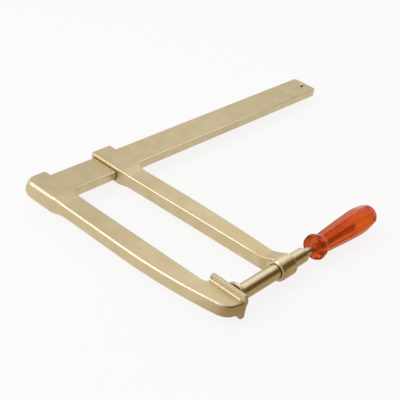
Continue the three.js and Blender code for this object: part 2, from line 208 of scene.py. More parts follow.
quarters = {             # points on a quarter round, as shares of its radius
    "fine": ((0, 1), (0.08, 0.62), (0.29, 0.29), (0.62, 0.08), (1, 0)),
    "plain": ((0, 1), (0.13, 0.5), (0.5, 0.13), (1, 0)),
    "small": ((0, 1), (0.3, 0.3), (1, 0)),
}


def roundFront(place, radius, edge, quarter):
    # stations that widen from an end face to the full radius
    return [(place + edge * a, radius - edge * b) for a, b in quarters[quarter]]


def roundBack(place, radius, edge, quarter):
    # and the ones that close the other end
    return [(place - edge * a, radius - edge * b) for a, b in reversed(quarters[quarter])]


camera = {
    "place": (-0.5505, -0.3560, 0.5190),
    "right": (0.66508, -0.73223, 0.14665),
    "down": (-0.32303, -0.45914, -0.82755),
    "forward": (0.67329, 0.50302, -0.54190),
    "lens": 82.94,
    "sensor": 36,
    "sees": (0.02, 30),      # from and to, in metres
}


def makeCamera():
    data = bpy.data.cameras.new("studioCamera")
    data.lens = camera["lens"]
    data.sensor_width = camera["sensor"]
    data.clip_start, data.clip_end = camera["sees"]
    eye = bpy.data.objects.new("studioCamera", data)
    bpy.context.scene.collection.objects.link(eye)
    right, down, forward = (Vector(camera[k]) for k in ("right", "down", "forward"))
    turn = Matrix((right, -down, -forward)).transposed().to_4x4()
    eye.matrix_world = Matrix.Translation(camera["place"]) @ turn
    bpy.context.scene.camera = eye


makeCamera()
print("camera set")


def newMaterial(name):
    material = bpy.data.materials.new(name)
    material.use_nodes = True
    tree = material.node_tree
    return material, tree, tree.nodes["Principled BSDF"]


def add(tree, kind, inputs=None, **settings):
    node = tree.nodes.new(kind)
    for key, value in settings.items():
        setattr(node, key, value)
    for key, value in (inputs or {}).items():
        if isinstance(value, bpy.types.NodeSocket):
            tree.links.new(value, node.inputs[key])
        else:
            node.inputs[key].default_value = value
    return node


def stretched(tree, scale):
    # object coordinates, squeezed so that a pattern runs along one direction
    place = add(tree, "ShaderNodeTexCoord").outputs["Object"]
    return add(tree, "ShaderNodeMapping", {"Vector": place, "Scale": scale}).outputs["Vector"]


def noise(tree, vector, scale, detail=3.0, roughness=0.55):
    return add(
        tree,
        "ShaderNodeTexNoise",
        {"Vector": vector, "Scale": scale, "Detail": detail, "Roughness": roughness},
    ).outputs["Fac"]


noiseSpan = (0.3, 0.7)       # where most of a noise's values lie
cloudSpan = (0.35, 0.65)     # a little less, for clouds with more contrast


def remap(tree, value, low, high, toLow, toHigh):
    return add(
        tree,
        "ShaderNodeMapRange",
        {"Value": value, "From Min": low, "From Max": high, "To Min": toLow, "To Max": toHigh},
    ).outputs["Result"]


def blendColours(tree, factor, first, second):
    mix = add(tree, "ShaderNodeMix", data_type="RGBA", clamp_factor=False)
    sockets = {"Factor": mix.inputs[0], "A": mix.inputs[6], "B": mix.inputs[7]}
    for key, value in (("Factor", factor), ("A", first), ("B", second)):
        if isinstance(value, bpy.types.NodeSocket):
            tree.links.new(value, sockets[key])
        else:
            sockets[key].default_value = value
    return mix.outputs[2]


def between(tree, value, limits, before=0.0, after=1.0):
    # one level before two places given in mm and another after them
    return remap(tree, value, limits[0] * mm, limits[1] * mm, before, after)


def maths(tree, operation, *values):
    inputs = dict(enumerate(values))
    return add(tree, "ShaderNodeMath", inputs, operation=operation).outputs["Value"]


def both(tree, first, second):
    return maths(tree, "MULTIPLY", first, second)


def either(tree, first, second):
    return maths(tree, "MAXIMUM", first, second)


def addBump(tree, shader, height, strength, depth):
    bump = add(
        tree,
        "ShaderNodeBump",
        {"Height": height, "Strength": strength, "Distance": depth * mm},
    )
    tree.links.new(bump.outputs["Normal"], shader.inputs["Normal"])


def edgeMask(tree, radius, span):
    # 1 on the edges, which are painted as worn and highlit, 0 on flat faces; span is how far the
    # rounded normal has to turn
    soft = add(tree, "ShaderNodeBevel", {"Radius": radius * mm}, samples=4)
    hard = add(tree, "ShaderNodeNewGeometry")
    facing = add(
        tree,
        "ShaderNodeVectorMath",
        {0: soft.outputs["Normal"], 1: hard.outputs["Normal"]},
        operation="DOT_PRODUCT",
    ).outputs["Value"]
    return remap(tree, facing, *span, 0.0, 1.0)


# where edges are painted lighter, as wear and as a painted highlight in one
wearAndHighlightLimits = {
    # parts of the surface's normal
    "flat": (0.965, 0.943),  # upright: wear and painted highlight start where a flat begins to turn over
    "side": (0.50, 0.75),    # upright: and has ended where it is a side
    "rear": (0.05, 0.20),    # towards +X: those edges are left without wear and painted highlight
    "tip": (-0.46, -0.36),   # towards -Y: and so is the fixed arm's end
    # places
    "arms": (45, 50),        # x, fixed arm before and sliding arm after
    "foot": (-7.5, -6.5),    # x, where the jaw plate's soft foot starts
    "web": (26, 38),         # y, where the sliding arm's worn edge and its painted highlight fade out
    "plate": (7.05, 7.3),    # z, from here on the plate stands above the arm
    "plateEdge": (9.6, 10),  # z, the plate's own edges are left without wear and painted highlight
}


def edgeWearAndHighlight(tree):
    # the first mask is 1 where a top or underside turns over into a side, 0 on flats and on the
    # sides towards +X, and paints wear and a highlight; the second is 1 on the jaw plate above
    # the fixed arm, painted lighter
    w = wearAndHighlightLimits
    coordinates = add(tree, "ShaderNodeTexCoord").outputs
    facing = add(tree, "ShaderNodeSeparateXYZ", {"Vector": coordinates["Normal"]}).outputs
    place = add(tree, "ShaderNodeSeparateXYZ", {"Vector": coordinates["Object"]}).outputs
    upright = maths(tree, "ABSOLUTE", facing["Z"])
    height = maths(tree, "ABSOLUTE", place["Z"])
    fixedSide = between(tree, place["X"], w["arms"], 1.0, 0.0)
    sliderSide = between(tree, place["X"], w["arms"])
    beforeFoot = between(tree, place["X"], w["foot"], 1.0, castFinish["footWearAndHighlight"])
    pastWeb = between(tree, place["Y"], w["web"])
    belowPlateEdge = between(tree, height, w["plateEdge"], 1.0, 0.0)
    # the jaw plate above the arm is painted lighter
    raisedPaintedLight = both(tree, between(tree, place["Z"], w["plate"]), fixedSide)
    raisedPaintedLight = both(tree, raisedPaintedLight, between(tree, place["X"], w["foot"]))
    wornAndHighlight = remap(tree, upright, *w["flat"], 0.0, 1.0)
    for limit in (
        remap(tree, upright, *w["side"], 0.0, 1.0),
        remap(tree, facing["X"], *w["rear"], 1.0, 0.0),
        remap(tree, facing["Y"], *w["tip"], 0.0, 1.0),
        either(tree, sliderSide, belowPlateEdge),
        either(tree, fixedSide, pastWeb),
        either(tree, sliderSide, beforeFoot),
    ):
        wornAndHighlight = both(tree, wornAndHighlight, limit)
    return wornAndHighlight, raisedPaintedLight


castFinish = {
    "light": (0.680, 0.562, 0.352, 1),
    "dark": (0.615, 0.497, 0.290, 1),
    # worn edges, painted lighter as wear and as a highlight
    "wornAndHighlight": (0.860, 0.765, 0.550, 1),
    "roughness": (0.34, 0.42),
    "metallic": 0.93,        # the blasted skin scatters a little
    "wornAndHighlightRoughness": 0.37,
    "wornAndHighlightMetallic": 0.85,
    "raisedPaintedLight": (0.620, 0.535, 0.360, 1),  # painted light: the jaw plate's back where it stands above the arm
    "raisedPaintedLightMetallic": 0.55,
    # how much of the edges' wear and painted highlight stays past the jaw plate's foot
    "footWearAndHighlight": 0.50,
    "clouds": 70,            # how fine the patterns are, per metre
    "grain": 1500,
    "speckle": 2600,
    "grainTone": 0.35,
    "bump": (0.10, 0.05),    # strength and depth
    "fade": 0.03,            # how softly the rail's worn edge with its painted highlight runs out, in metres
}


def makeCastBronze(name, stretch, wornAndHighlightUpTo=1.0):
    c = castFinish
    material, tree, shader = newMaterial(name)
    even = stretched(tree, (1, 1, 1))
    clouds = noise(tree, even, c["clouds"], 4)
    grain = noise(tree, stretched(tree, stretch), c["grain"], 2)
    speckle = noise(tree, even, c["speckle"], 2)
    tone = remap(tree, clouds, *cloudSpan, 0.0, 1.0)
    colour = blendColours(tree, tone, c["dark"], c["light"])
    grainTone = remap(tree, grain, *noiseSpan, 0.0, c["grainTone"])
    colour = blendColours(tree, grainTone, colour, c["dark"])
    along = add(tree, "ShaderNodeSeparateXYZ", {"Vector": even}).outputs["X"]
    # the worn edge and its painted highlight fade out along the rail
    fade = remap(tree, along, wornAndHighlightUpTo - c["fade"], wornAndHighlightUpTo + c["fade"], 1.0, 0.0)
    # the edges are painted lighter, as wear and as a highlight
    wornAndHighlight, raisedPaintedLight = edgeWearAndHighlight(tree)
    wornAndHighlight = both(tree, wornAndHighlight, fade)
    # the plate above the arm takes its painted lighter colour
    colour = blendColours(tree, raisedPaintedLight, colour, c["raisedPaintedLight"])
    colour = blendColours(tree, wornAndHighlight, colour, c["wornAndHighlight"])
    tree.links.new(colour, shader.inputs["Base Color"])
    low, high = c["roughness"]
    roughness = remap(tree, grain, *noiseSpan, low, high)
    smoother = remap(tree, wornAndHighlight, 0, 1, 1, c["wornAndHighlightRoughness"] / high)
    tree.links.new(both(tree, roughness, smoother), shader.inputs["Roughness"])
    addBump(tree, shader, maths(tree, "ADD", grain, speckle), *c["bump"])
    metallic = remap(tree, wornAndHighlight, 0, 1, c["metallic"], c["wornAndHighlightMetallic"])
    paler = remap(tree, raisedPaintedLight, 0, 1, 1, c["raisedPaintedLightMetallic"])
    tree.links.new(both(tree, metallic, paler), shader.inputs["Metallic"])
    return material


turnedFinish = {
    "light": (0.755, 0.655, 0.445, 1),
    "dark": (0.680, 0.565, 0.350, 1),
    # edges painted a touch lighter, as wear and as a highlight
    "wornAndHighlight": (0.780, 0.685, 0.475, 1),
    "roughness": (0.21, 0.27),
    "edge": 0.5,
    "edgeSpan": (0.995, 0.93),
    "clouds": 120,
    "toolMarks": 9000,
    "marksRun": (1, 0.02, 0.02),  # rings round the axis, thin along X
    "bump": (0.05, 0.01),
}


def makeTurnedBronze():
    t = turnedFinish
    material, tree, shader = newMaterial("turnedBronze")
    toolMarks = noise(tree, stretched(tree, t["marksRun"]), t["toolMarks"], 2)
    clouds = noise(tree, stretched(tree, (1, 1, 1)), t["clouds"], 3)
    tone = remap(tree, clouds, *noiseSpan, 0.0, 1.0)
    colour = blendColours(tree, tone, t["dark"], t["light"])
    # the edges are painted lighter, as wear and as a highlight
    edges = edgeMask(tree, t["edge"], t["edgeSpan"])
    colour = blendColours(tree, edges, colour, t["wornAndHighlight"])
    tree.links.new(colour, shader.inputs["Base Color"])
    roughness = remap(tree, toolMarks, *noiseSpan, *t["roughness"])
    tree.links.new(roughness, shader.inputs["Roughness"])
    addBump(tree, shader, toolMarks, *t["bump"])
    shader.inputs["Metallic"].default_value = 1
    return material


steelFinish = {
    "light": (0.62, 0.61, 0.59, 1),
    "dark": (0.46, 0.45, 0.43, 1),
    "roughness": (0.25, 0.40),
    "drawMarks": 1800,
    "marksRun": (1, 0.05, 1),  # long streaks along Y
    "bump": (0.10, 0.02),
}


def makePinSteel():
    s = steelFinish
    material, tree, shader = newMaterial("pinSteel")
    drawMarks = noise(tree, stretched(tree, s["marksRun"]), s["drawMarks"], 3)
    tone = remap(tree, drawMarks, *noiseSpan, 0.0, 1.0)
    colour = blendColours(tree, tone, s["dark"], s["light"])
    tree.links.new(colour, shader.inputs["Base Color"])
    roughness = remap(tree, drawMarks, *noiseSpan, *s["roughness"])
    tree.links.new(roughness, shader.inputs["Roughness"])
    addBump(tree, shader, drawMarks, *s["bump"])
    shader.inputs["Metallic"].default_value = 1
    return material


amberFinish = {
    "deep": (0.68, 0.072, 0.006, 1),
    "bright": (0.80, 0.122, 0.010, 1),
    "flange": (0.55, 0.071, 0.021, 1),  # painted deeper shade, standing in for the light going through more plastic
    "flangeEnd": (131, 134),
    "roughness": (0.12, 0.17),
    "bend": 1.32,            # a softer bend of light than real plastic keeps it clear
    "sheen": (1.0, 0.40, 0.14, 1),
    "coat": (0.08, 0.04),    # weight and roughness
    "clouds": 45,
    "marks": 160,
    "bump": (0.006, 0.03),
}


def makeAmberPlastic():
    a = amberFinish
    material, tree, shader = newMaterial("amberPlastic")
    even = stretched(tree, (1, 1, 1))
    clouds = noise(tree, even, a["clouds"], 2)
    marks = noise(tree, even, a["marks"], 2)
    along = add(tree, "ShaderNodeSeparateXYZ", {"Vector": even}).outputs["X"]
    tone = remap(tree, clouds, *cloudSpan, 0.0, 1.0)
    colour = blendColours(tree, tone, a["deep"], a["bright"])
    # the flange is painted deeper, as shade
    flange = between(tree, along, a["flangeEnd"], 1.0, 0.0)
    colour = blendColours(tree, flange, colour, a["flange"])
    tree.links.new(colour, shader.inputs["Base Color"])
    roughness = remap(tree, marks, *noiseSpan, *a["roughness"])
    tree.links.new(roughness, shader.inputs["Roughness"])
    addBump(tree, shader, marks, *a["bump"])
    shader.inputs["Transmission Weight"].default_value = 1
    shader.inputs["IOR"].default_value = a["bend"]
    shader.inputs["Specular Tint"].default_value = a["sheen"]
    shader.inputs["Coat Weight"].default_value = a["coat"][0]
    shader.inputs["Coat Roughness"].default_value = a["coat"][1]
    return material


# the grain runs along the arms and the rail, whose worn edge with its painted highlight ends 0.30
# m along
armBronze = makeCastBronze("armBronze", (1, 0.08, 1))
railBronze = makeCastBronze("railBronze", (0.06, 1, 1), 0.30)
turnedBronze = makeTurnedBronze()
pinSteel = makePinSteel()
amberPlastic = makeAmberPlastic()
print("materials made")


rail = {
    "start": -30,
    "end": 415.5,
    "near": 210,
    "far": 245,
    "half": 5,
    "endCorner": 4.5,
    "chamfer": 1.4,          # how far the broken edges reach in from the sides
    "chamferDrop": 0.52,     # and how far down
    "edge": 0.3,
}
headPin = {
    "places": (-16.5, -25.5),
    "radius": 2.5,
    "tip": 225,
    "head": 248.6,
    "edge": 0.5,
    "seat": 0.3,             # how much wider its hole is drawn
    "drillLead": 2,          # how far inside the arm's seat for the rail its drill starts
}
stopPin ={"place": 405, "middle": 227.5, "radius": 3, "half": 7, "edge": 0.8, "seat": 0.3}


def standingPin(name, radius, ends, along, x, other, rounding=0):
    # a pin along Y or Z between its two ends; other is its place on the third axis
    dropSelection()
    low, high = ends
    middle = (low + high) / 2
    place, turn = ((x, middle, other), 90) if along == "y" else ((x, other, middle), 0)
    bpy.ops.mesh.primitive_cylinder_add(
        vertices=48,
        radius=radius * mm,
        depth=(high - low) * mm,
        location=[p * mm for p in place],
        rotation=(math.radians(turn), 0, 0),
    )
    piece = openPiece(name)
    if rounding:
        roundSharpEdges(rounding, 3)
    return piece


def drillForHeadPins(piece, low, high):
    for place in headPin["places"]:
        radius = headPin["radius"] + headPin["seat"]
        combine(piece, standingPin("hole", radius, (low, high), "y", place, 0), "DIFFERENCE")


def makeRail():
    r = rail
    bar = block("railBar", (r["start"], r["near"], -r["half"]), (r["end"], r["far"], r["half"]))
    pick(
        bar,
        "edges",
        lambda e: edgeAt(e, x=r["end"]) and abs(e.verts[0].co.y - e.verts[1].co.y) < mm,
    )
    bpy.ops.mesh.bevel(offset=r["endCorner"] * mm, segments=6, affect="EDGES")
    pick(bar, "edges", lambda e: edgeAt(e, z=r["half"]))
    bpy.ops.mesh.bevel(offset=r["chamfer"] * mm, segments=1, affect="EDGES")
    low = r["half"] - r["chamfer"]
    pick(bar, "verts", lambda v: abs(abs(v.co.z) / mm - low) < 0.01)
    lift = (r["half"] - r["chamferDrop"]) / low
    bpy.ops.transform.resize(value=(1, 1, lift), center_override=(0, 0, 0))
    roundSharpEdges(r["edge"], 2, 12)
    faceOutward()
    drillForHeadPins(bar, headPin["tip"] - headPin["seat"], r["far"] + past)
    ends = (-r["half"] - past, r["half"] + past)
    radius = stopPin["radius"] + stopPin["seat"]
    hole = standingPin("hole", radius, ends, "z", stopPin["place"], stopPin["middle"])
    combine(bar, hole, "DIFFERENCE")
    openAgain(bar)
    faceOutward()
    finishShading(bar)
    dress(bar, railBronze, "frame", ["rail"])


def makePins():
    p = headPin
    for number, place in enumerate(p["places"], 1):
        ends = (p["tip"], p["head"])
        pin = standingPin(f"headPin{number}", p["radius"], ends, "y", place, 0, p["edge"])
        finishShading(pin)
        dress(pin, pinSteel, "frame", [f"head_pin_{number}"])
    p = stopPin
    ends = (-p["half"], p["half"])
    pin = standingPin(
        "railStopPin", p["radius"], ends, "z", p["place"], p["middle"], p["edge"]
    )
    finishShading(pin)
    dress(pin, turnedBronze, "frame", ["rail_stop_pin"])


makeRail()
makePins()
print("rail and pins made")


# both arms are drawn as outlines seen from above, given depth, thinned and rounded

ramp = {"top": 206, "foot": 193, "soft": 1.6, "steps": 12}  # from the heads to the arms
armHalf = 7              # half the thickness of both arms


def rampShare(place):
    # 0 on the head and 1 on the slim arm, with both ends of the slope rounded
    length = ramp["top"] - ramp["foot"]
    soft = ramp["soft"]
    down = ramp["top"] - place
    if down <= -soft:
        return 0
    if down < soft:
        return (down + soft) ** 2 / (4 * soft * length)
    if down <= length - soft:
        return down / length
    if down < length + soft:
        return 1 - (length + soft - down) ** 2 / (4 * soft * length)
    return 1


def rampPlaces():
    return steps(ramp["top"] + ramp["soft"], ramp["foot"] - ramp["soft"], ramp["steps"])


def curveThrough(start, control, end, count):
    # points on a curve that leaves start towards control and reaches end from it
    return [
        tuple(
            a * (1 - t) ** 2 + 2 * b * t * (1 - t) + c * t ** 2
            for a, b, c in zip(start, control, end)
        )
        for t in steps(0, 1, count)
    ]


def cornerArc(middle, radius, fromDegrees, toDegrees, count):
    turns = [math.radians(d) for d in steps(fromDegrees, toDegrees, count)]
    return [(middle[0] + radius * math.cos(a), middle[1] + radius * math.sin(a)) for a in turns]


def drawCasting(name, points, half):
    # one point is pulled round the outline, which is filled and pulled up
    dropSelection()
    x, y = points[0]
    bpy.ops.mesh.primitive_plane_add(size=mm, location=(x * mm, y * mm, -half * mm))
    piece = openPiece(name)
    bpy.ops.mesh.select_all(action="SELECT")
    bpy.ops.mesh.merge(type="CENTER")
    bpy.ops.mesh.select_all(action="SELECT")
    for nextX, nextY in points[1:]:
        step = {"value": ((nextX - x) * mm, (nextY - y) * mm, 0)}
        bpy.ops.mesh.extrude_vertices_move(TRANSFORM_OT_translate=step)
        x, y = nextX, nextY
    bpy.ops.mesh.select_all(action="SELECT")
    bpy.ops.mesh.edge_face_add()
    bpy.ops.mesh.extrude_region_move(TRANSFORM_OT_translate={"value": (0, 0, 2 * half * mm)})
    faceOutward()
    return piece


def rampSide(headX, armX):
    # one side of an arm from the head down the ramp
    return [(headX + rampShare(p) * (armX - headX), p) for p in rampPlaces()]


def thinTo(piece, half, wanted):
    # wanted lists (place, half thickness), and all that lies past the last place takes its value
    for place, _ in wanted:
        bpy.ops.mesh.select_all(action="SELECT")
        bpy.ops.mesh.bisect(plane_co=(0, place * mm, 0), plane_no=(0, 1, 0))
    for number, (place, newHalf) in enumerate(wanted):
        last = number == len(wanted) - 1
        pick(
            piece,
            "verts",
            lambda v: abs(v.co.y / mm - place) < 0.01 or (last and v.co.y / mm < place),
        )
        bpy.ops.transform.resize(value=(1, 1, newHalf / half), center_override=(0, place * mm, 0))


def rampHalves(headHalf):
    return [(p, headHalf + rampShare(p) * (armHalf - headHalf)) for p in rampPlaces()]


fixedArm = {
    "back": 249,
    "headOuter": -37,
    "headInner": -10.5,
    "headHalf": 9.5,
    "corner": 10,
    "swell": 4,              # how far the head's outer side bulges
    "swellFrom": 195,        # y and x that bound the faces cut for it
    "swellWithin": -20,
    "swellCuts": (-6, -4, -2, 0, 2, 4, 6),
    "seatGap": 0.3,          # play round the rail's end
    "rootOuter": -35,
    "rootInner": -10,
    "tipInner": -8.8,
    "tipOuter": -24.8,
    "curveStart": 108,
    "curveEnd": 1.5,
    "tipCurve": ((-24.6, 0), (-23.4, -10), (-15.1, -14)),
    "hollow": (-2, -0.5, 7),  # y from the plate's high end, as the inner side curves to it
    "hollowLean": 0.05,
    "end": -16.3,
    "endOuter": -6,
    "edge": 2.4,
    "tipEdge": 3.2,          # the edges grow rounder round the tip
    "tipFrom": 12,
    "tipFull": -8,
}
jawPlate = {
    "back": -4,
    "low": -16.5,
    "high": 26,
    "half": 13.5,
    "cornerHigh": 2,
    "cornerLow": 2.6,
    "edge": 0.7,
    "foot": 1.9,             # radius of the soft corner at its foot
    "footReach": (-11.6, 25.2),
    "footOverlap": 0.4,      # how deep the strip sits in the arm and the plate
    "footPlay": 0.01,        # keeps its two thin ends from coming to nothing
}


def fixedArmOutline():
    a = fixedArm
    corner = (a["headOuter"] + a["corner"], a["back"] - a["corner"])
    points = [(a["headInner"], a["back"])]
    points += cornerArc(corner, a["corner"], 90, 180, 12)
    points += rampSide(a["headOuter"], a["rootOuter"])
    root = (a["rootOuter"], a["curveStart"])
    bend = (a["rootOuter"], a["curveStart"] / 2)
    points += curveThrough(root, bend, (a["tipOuter"], a["curveEnd"]), 18)
    points += curveThrough(*a["tipCurve"], 12)
    inside = jawPlate["back"] / 2
    points += [(a["endOuter"], a["end"]), (inside, a["end"])]
    inner = a["tipInner"]
    low, bend, high = (jawPlate["high"] + offset for offset in a["hollow"])
    points += curveThrough((inside, low), (inner, bend), (inner - a["hollowLean"], high), 10)
    points += reversed(rampSide(a["headInner"], a["rootInner"]))
    return points


def swellCorner(piece):
    # lets the head's outer side bulge at mid-height, most at the back corner
    a = fixedArm
    for height in a["swellCuts"]:
        pick(
            piece,
            "faces",
            lambda f: f.calc_center_median().y / mm > a["swellFrom"]
            and f.calc_center_median().x / mm < a["swellWithin"]
            and abs(f.normal.z) < 0.9,
        )
        bpy.ops.mesh.bisect(plane_co=(0, 0, height * mm), plane_no=(0, 0, 1))
    cage = bmesh.from_edit_mesh(piece.data)
    start, full = ramp["foot"], a["back"] - a["corner"]
    for vert in cage.verts:
        place = vert.co / mm
        if place.y < start or place.x > (a["headOuter"] + a["headInner"]) / 2:
            continue
        fade = eased(limited((place.y - start) / (full - start)))
        across = eased(limited(1 - (place.x - a["headOuter"]) / (a["corner"] + 2)))
        height = max(0, 1 - (place.z / a["headHalf"]) ** 2) ** 1.5
        vert.co.x -= a["swell"] * fade * across * height * mm
    bmesh.update_edit_mesh(piece.data)


def makeJawPlate():
    p = jawPlate
    plate = block("jawPlate", (p["back"], p["low"], -p["half"]), (0, p["high"], p["half"]))
    for end, corner in (("low", "cornerLow"), ("high", "cornerHigh")):
        pick(plate, "edges", lambda e: edgeAt(e, y=p[end], z=p["half"]))
        bpy.ops.mesh.bevel(offset=p[corner] * mm, segments=6, affect="EDGES")
    roundSharpEdges(p["edge"], 3)
    faceOutward()
    return plate


def roundTowardTip(arm):
    # one bevel whose width follows each edge's weight, for the radius grows on the way
    a = fixedArm
    pickSharpEdges()
    cage = bmesh.from_edit_mesh(arm.data)
    weights = cage.edges.layers.float.new("bevel_weight_edge")
    for edge in cage.edges:
        if edge.select:
            middle = (edge.verts[0].co.y + edge.verts[1].co.y) / 2 / mm
            share = limited((a["tipFrom"] - middle) / (a["tipFrom"] - a["tipFull"]))
            edge[weights] = (a["edge"] + share * (a["tipEdge"] - a["edge"])) / a["tipEdge"]
    bmesh.update_edit_mesh(arm.data)
    bpy.ops.object.mode_set(mode="OBJECT")
    useModifier(
        arm,
        "BEVEL",
        width=a["tipEdge"] * mm,
        segments=5,
        limit_method="WEIGHT",
        use_clamp_overlap=False,
    )
    openAgain(arm)


def makeFootStrip(side):
    # the soft corner between the arm's flat and the plate's back, on the top or underside
    p = jawPlate
    foot, back, overlap = p["foot"], p["back"], p["footOverlap"]
    low, high = sorted((side * (armHalf - overlap), side * (armHalf + foot)))
    first, last = p["footReach"]
    strip = block("footStrip", (back - foot, first, low), (back + overlap, last, high))
    dropSelection()
    bpy.ops.mesh.primitive_cylinder_add(
        vertices=64,
        radius=(foot - p["footPlay"]) * mm,
        depth=(last - first + past) * mm,
        location=((back - foot) * mm, (first + last) / 2 * mm, side * (armHalf + foot) * mm),
        rotation=(math.radians(90), 0, 0),
    )
    combine(strip, openPiece("hollow"), "DIFFERENCE")
    return strip


def makeFixedArm():
    a = fixedArm
    arm = drawCasting("fixedArmCasting", fixedArmOutline(), a["headHalf"])
    thinTo(arm, a["headHalf"], rampHalves(a["headHalf"]))
    roundTowardTip(arm)
    swellCorner(arm)
    faceOutward()
    combine(arm, makeJawPlate(), "UNION")
    for side in (-1, 1):
        combine(arm, makeFootStrip(side), "UNION")
    gap = a["seatGap"]
    seat = block(
        "seat",
        (rail["start"] - gap, rail["near"] - gap, -rail["half"] - gap),
        (a["headInner"] + past, rail["far"] + gap, rail["half"] + gap),
    )
    combine(arm, seat, "DIFFERENCE")
    drillForHeadPins(arm, rail["far"] - headPin["drillLead"], a["back"] + past)
    openAgain(arm)
    faceOutward()
    finishShading(arm)
    dress(arm, armBronze, "frame", ["fixed_arm"])


makeFixedArm()
print("fixed arm made")


slidingArm = {
    "back": 250.4,
    "headNear": 54,
    "headFar": 81.3,
    "headHalf": 8.75,
    "corner": 3,
    "rootNear": 56,
    "rootFar": 79.3,
    "tipNear": 61.8,
    "tipFar": 80,
    "bow": 83.65,            # where the far side's curve is drawn towards
    "webStart": 22,
    "webEnd": 7,
    "slot": 0.7,             # play round the rail
    "edge": 1.4,
}
boss = {
    "near": 63,
    "far": 84.5,
    "radius": 11.25,
    "edge": 1.9,
    "ring": 2.7,             # rounding of the end that shows, before the web
    "webSlope": 15,
    "webSoft": 2.5,
    "webDip": (0.8, 0.3),
    "webInset": 0.2,
    "bore": 8.1,
    "mouth": 8.4,            # radius of the sink round the bore's two ends
    "sink": 3,
    # how far off its surface a face may lie and still count as turned
    "turned": {"past": 0.05, "deep": 0.5, "before": 1, "tilt": 0.3},
}


def webHalves():
    # a slope touches the boss just behind its crest and runs out softly on the arm
    slope = math.radians(boss["webSlope"])
    radius, soft = boss["radius"], boss["webSoft"]
    touch = radius * math.sin(slope)
    foot = touch + (radius * math.cos(slope) - armHalf) / math.tan(slope)
    halves = []
    for place in steps(foot + soft, touch, 9):
        climbed = foot + soft - place
        run = climbed ** 2 / (4 * soft) if climbed < 2 * soft else climbed - soft
        halves.append((place, armHalf + run * math.tan(slope)))
    # the last step dips into the boss, so that no edge of the web shows on its crest
    dip = boss["webDip"]
    halves.append((touch - dip[0], radius * math.cos(slope) - dip[1]))
    return halves


def webEdges(place):
    # where the web's two sides stand as it spreads along the boss
    a = slidingArm
    share = limited((a["webStart"] - place) / (a["webStart"] - a["webEnd"]))
    inset = boss["edge"] + boss["webInset"]
    near, far = boss["near"] + inset, boss["far"] - inset
    return (
        a["tipNear"] + (near - a["tipNear"]) * share ** 1.5,
        a["tipFar"] + (far - a["tipFar"]) * share ** 2,
    )


def slidingArmOutline():
    a = slidingArm
    corner = (a["headNear"] + a["corner"], a["back"] - a["corner"])
    points = [(a["headFar"], a["back"])]
    points += cornerArc(corner, a["corner"], 90, 180, 8)
    points += rampSide(a["headNear"], a["rootNear"])
    start, foot = a["webStart"], ramp["foot"]
    slope = [place for place, _ in webHalves()]
    web = steps(start, slope[0], 3)[:-1] + slope
    points += [(webEdges(p)[0], p) for p in web]
    points += [(x, 0) for x in webEdges(0)]
    points += [(webEdges(p)[1], p) for p in reversed(web)]
    bow = (a["bow"], (start + foot) / 2)
    points += curveThrough((a["tipFar"], start), bow, (a["rootFar"], foot), 16)[1:-1]
    points += reversed(rampSide(a["headFar"], a["rootFar"]))
    return points


def dressBoss(arm):
    # the boss is turned, so its barrel and its ends take the turned finish
    arm.data.materials.append(turnedBronze)
    radius, limits = boss["radius"], boss["turned"]
    for face in arm.data.polygons:
        middle = face.center / mm
        around = math.hypot(middle.y, middle.z)
        facesEnd = abs(face.normal.x) > limits["tilt"]
        onEnd = facesEnd and middle.x > boss["near"] - limits["before"]
        onBarrel = not facesEnd and around > radius - limits["deep"]
        if around < radius + limits["past"] and (onEnd or onBarrel):
            face.material_index = 1


def makeSlidingArm():
    a = slidingArm
    arm = drawCasting("slidingArmCasting", slidingArmOutline(), a["headHalf"])
    thinTo(arm, a["headHalf"], rampHalves(a["headHalf"]))
    thinTo(arm, armHalf, webHalves())
    roundSharpEdges(a["edge"], 5, 40)
    faceOutward()
    near, far = boss["near"], boss["far"]
    barrel = turnPiece(
        "boss",
        roundFront(near, boss["radius"], boss["ring"], "fine")
        + roundBack(far, boss["radius"], boss["edge"], "plain"),
    )
    combine(arm, barrel, "UNION")
    bore, mouth, sink = boss["bore"], boss["mouth"], boss["sink"]
    hole = turnPiece(
        "bore",
        [
            (near - past, mouth),
            (near + sink, mouth),
            (near + sink, bore),
            (far - sink, bore),
            (far - sink, mouth),
            (far + past, mouth),
        ],
    )
    combine(arm, hole, "DIFFERENCE")
    gap = a["slot"]
    slot = block(
        "slot",
        (a["headNear"] - past, rail["near"] - gap, -rail["half"] - gap),
        (a["headFar"] + past, rail["far"] + gap, rail["half"] + gap),
    )
    combine(arm, slot, "DIFFERENCE")
    openAgain(arm)
    faceOutward()
    finishShading(arm)
    dress(arm, armBronze, "slider", ["sliding_arm"])
    dressBoss(arm)


makeSlidingArm()
print("sliding arm made")


spindle = {
    "tip": 2.6,
    "nose": 3.9,
    "noseEdge": 0.5,
    "groove": (3.2, 4.5, 2.9),  # from, to and radius of its floor
    "shoulder": (8.7, 10.1),
    "radius": 7.8,
    "rear": 107.6,
    "edge": 1.5,
    "neck": 4.4,
    "neckEnd": 128.4,
    "tangStart": 126.7,
    "tangEnd": 190.4,
    "tangHalf": 2.687,
    "tangEdge": 0.5,
}
pad = {
    "face": 2.1,
    "floor": 5.0,
    "rimBack": 6.5,
    "back": 8.0,
    "rim": 13.5,
    "recess": 7.2,
    "hole": 4.5,
    "hub": 7.8,
    "edge": 0.7,
}
clip = {"near": 3.5, "far": 4.2, "outer": 6.2, "inner": 3.2, "mouth": 70, "edge": 0.12}


